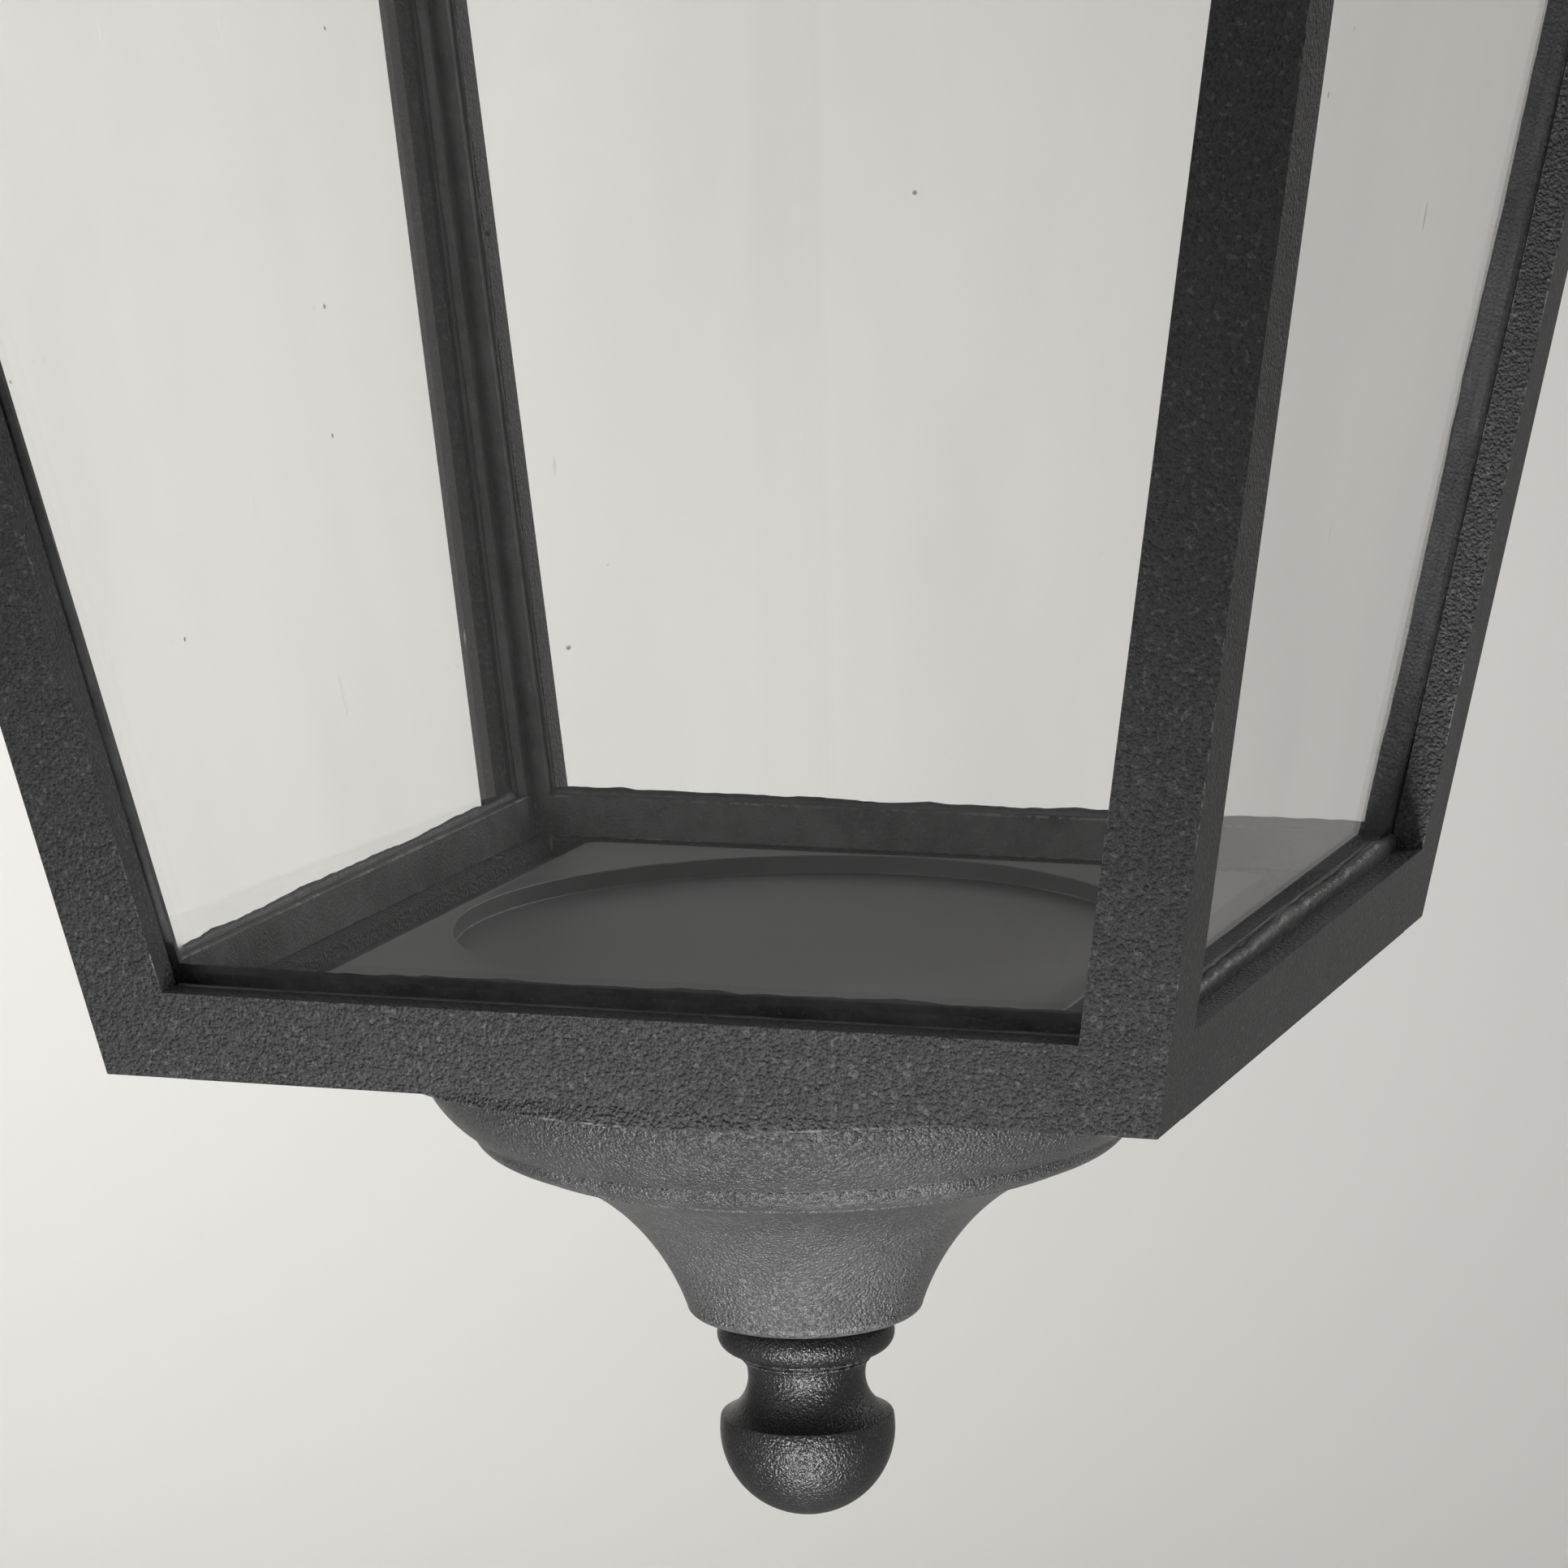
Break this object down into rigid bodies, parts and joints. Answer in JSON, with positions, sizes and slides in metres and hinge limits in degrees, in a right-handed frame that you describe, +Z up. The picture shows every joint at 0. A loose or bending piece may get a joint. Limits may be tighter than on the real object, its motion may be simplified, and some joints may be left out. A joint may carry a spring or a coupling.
{
  "type": "hanging lantern",
  "caption": "Tapered four-sided glazed hanging lantern with a hipped roof, vented chimney, turned base, ball finial, and a chain from a ceiling canopy.",
  "frame": {"origin": "centre of the ceiling bracket's upper face, where the fitting meets the ceiling", "axes": "+Z up along the hanging axis; -Y towards the front pane; +X to the right"},
  "size_m": [0.3072, 0.3072, 0.706],
  "materials": {
    "frame_coat": "sand-textured charcoal powder coat, matt",
    "base_coat": "fine-grained charcoal powder coat, satin",
    "finial_coat": "smooth dark coat, semi-gloss",
    "floor_coat": "smooth grey coat, satin",
    "inner_coat": "dark coat on the inner trim, matt",
    "pane_glass": "clear polished glass",
    "chain_steel": "dark coated steel wire, satin",
    "plated_steel": "plain plated steel",
    "tube_brass": "turned brass, satin",
    "holder_plastic": "black moulded plastic",
    "terminal_plastic": "white moulded plastic",
    "bush_rubber": "black rubber, matt",
    "lamp_metal": "pressed aluminium, bright",
    "lamp_glass": "white coated lamp glass"
  },
  "bodies": {
    "ceiling": {"ceiling_bracket": "plated_steel", "ceiling_eye": "finial_coat", "canopy_nut": "finial_coat", "ceiling_canopy": "frame_coat", "canopy_bush": "bush_rubber"},
    "link_1": {"chain_link_1": "chain_steel"},
    "link_2": {"chain_link_2": "chain_steel"},
    "link_3": {"chain_link_3": "chain_steel"},
    "lantern": {"leg_front_right": "frame_coat", "leg_back_right": "frame_coat", "leg_back_left": "frame_coat", "leg_front_left": "frame_coat", "lower_rail_front": "frame_coat", "lower_rail_right": "frame_coat", "lower_rail_back": "frame_coat", "lower_rail_left": "frame_coat", "top_rail_front": "frame_coat", "top_rail_right": "frame_coat", "top_rail_back": "frame_coat", "top_rail_left": "frame_coat", "roof_panel_front": "frame_coat", "roof_panel_right": "frame_coat", "roof_panel_back": "frame_coat", "roof_panel_left": "frame_coat", "crown_plate": "frame_coat", "vent_collar": "frame_coat", "chimney_cap": "frame_coat", "pane_front": "pane_glass", "pane_right": "pane_glass", "pane_back": "pane_glass", "pane_left": "pane_glass", "bead_front": "inner_coat", "bead_right": "inner_coat", "bead_back": "inner_coat", "bead_left": "inner_coat", "corner_angle_front_right": "inner_coat", "corner_angle_back_right": "inner_coat", "corner_angle_back_left": "inner_coat", "corner_angle_front_left": "inner_coat", "base_tray": "inner_coat", "angle_screws": "plated_steel", "tray_screws": "plated_steel", "floor_screws": "plated_steel", "tie_stud": "plated_steel", "stud_washer": "plated_steel", "stud_nut": "plated_steel", "tube_nut": "plated_steel", "floor_plate": "floor_coat", "base_casting": "base_coat", "ball_finial": "finial_coat", "hanging_eye": "finial_coat", "cable_bush": "bush_rubber", "threaded_tube": "tube_brass", "terminal_block": "terminal_plastic", "lampholder_cap": "holder_plastic", "lampholder_body": "holder_plastic", "lamp_cap": "lamp_metal", "lamp_glass": "lamp_glass"}
  },
  "joints": [
    {"name": "link_1_swing", "type": "hinge", "parent": "ceiling", "child": "link_1", "pos_m": [0, 0, -0.057], "axis": [1, 0, 0], "range_deg": [-30, 30]},
    {"name": "link_2_swing", "type": "hinge", "parent": "link_1", "child": "link_2", "pos_m": [0, 0, -0.0892], "axis": [0, 1, 0], "range_deg": [-30, 30]},
    {"name": "link_3_swing", "type": "hinge", "parent": "link_2", "child": "link_3", "pos_m": [0, 0, -0.1219], "axis": [1, 0, 0], "range_deg": [-30, 30]},
    {"name": "lantern_swing", "type": "hinge", "parent": "link_3", "child": "lantern", "pos_m": [0, 0, -0.1546], "axis": [0, 1, 0], "range_deg": [-30, 30]}
  ]
}
